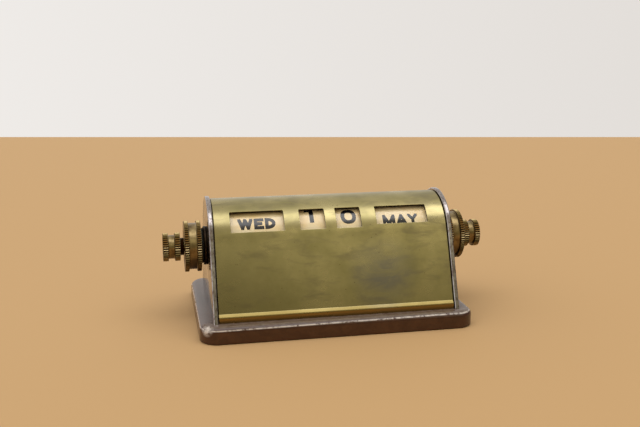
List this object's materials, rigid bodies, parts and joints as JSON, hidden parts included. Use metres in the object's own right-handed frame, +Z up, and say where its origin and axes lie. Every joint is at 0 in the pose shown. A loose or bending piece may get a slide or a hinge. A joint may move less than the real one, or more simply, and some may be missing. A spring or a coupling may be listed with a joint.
{
  "type": "perpetual desk calendar",
  "caption": "Perpetual desk calendar: a bent sheet-metal cover with windows over printed drums, which coaxial knurled knobs at both ends turn, on a moulded base.",
  "frame": {"origin": "centre of the base's underside, on the surface that the calendar stands on", "axes": "+X along the length to the viewer's right, the windows face -Y, +Z up"},
  "size_m": [0.1596, 0.084, 0.0602],
  "materials": {
    "moulded_base": "glossy dark red-brown phenolic moulding, worn pale along the edges",
    "nickel_plate": "polished nickel plate on pressed steel, bright on the rim with grey wear",
    "cover_brass": "satin sheet brass with an olive, smudged tarnish",
    "knob_brass": "knurled turned brass, browned in the hollows",
    "bearing_brass": "turned brass, dull",
    "dark_brass": "blackened brass",
    "black_fibre": "black vulcanised fibre",
    "drum_wood": "plain turned beech, unvarnished",
    "printed_paper": "cream paper printed in blue-black, yellowed",
    "plain_steel": "plain mild steel, dull"
  },
  "bodies": {
    "case": {"base": "moulded_base", "end_plate_left": "nickel_plate", "end_plate_right": "nickel_plate", "cover": "cover_brass", "centre_bracket": "plain_steel", "centre_bush": "bearing_brass", "bearing_bush_left": "bearing_brass", "bearing_bush_right": "bearing_brass", "ring_nut_left": "dark_brass", "ring_nut_right": "dark_brass", "base_screws": "plain_steel", "base_nuts": "plain_steel"},
    "weekday_drive": {"weekday_drum": "drum_wood", "weekday_band": "printed_paper", "weekday_sleeve": "bearing_brass", "weekday_washer": "black_fibre", "weekday_knob": "knob_brass"},
    "tens_drive": {"tens_drum": "drum_wood", "tens_band": "printed_paper", "tens_spindle": "bearing_brass", "tens_knob": "knob_brass"},
    "units_drive": {"units_drum": "drum_wood", "units_band": "printed_paper", "units_spindle": "bearing_brass", "units_knob": "knob_brass"},
    "month_drive": {"month_drum": "drum_wood", "month_band": "printed_paper", "month_sleeve": "bearing_brass", "month_washer": "black_fibre", "month_knob": "knob_brass"}
  },
  "joints": [
    {"name": "weekday_turn", "type": "hinge", "parent": "case", "child": "weekday_drive", "pos_m": [0, 0, 0.0362], "axis": [1, 0, 0], "continuous": true},
    {"name": "tens_turn", "type": "hinge", "parent": "case", "child": "tens_drive", "pos_m": [0, 0, 0.0362], "axis": [1, 0, 0], "continuous": true},
    {"name": "units_turn", "type": "hinge", "parent": "case", "child": "units_drive", "pos_m": [0, 0, 0.0362], "axis": [1, 0, 0], "continuous": true},
    {"name": "month_turn", "type": "hinge", "parent": "case", "child": "month_drive", "pos_m": [0, 0, 0.0362], "axis": [1, 0, 0], "continuous": true}
  ]
}
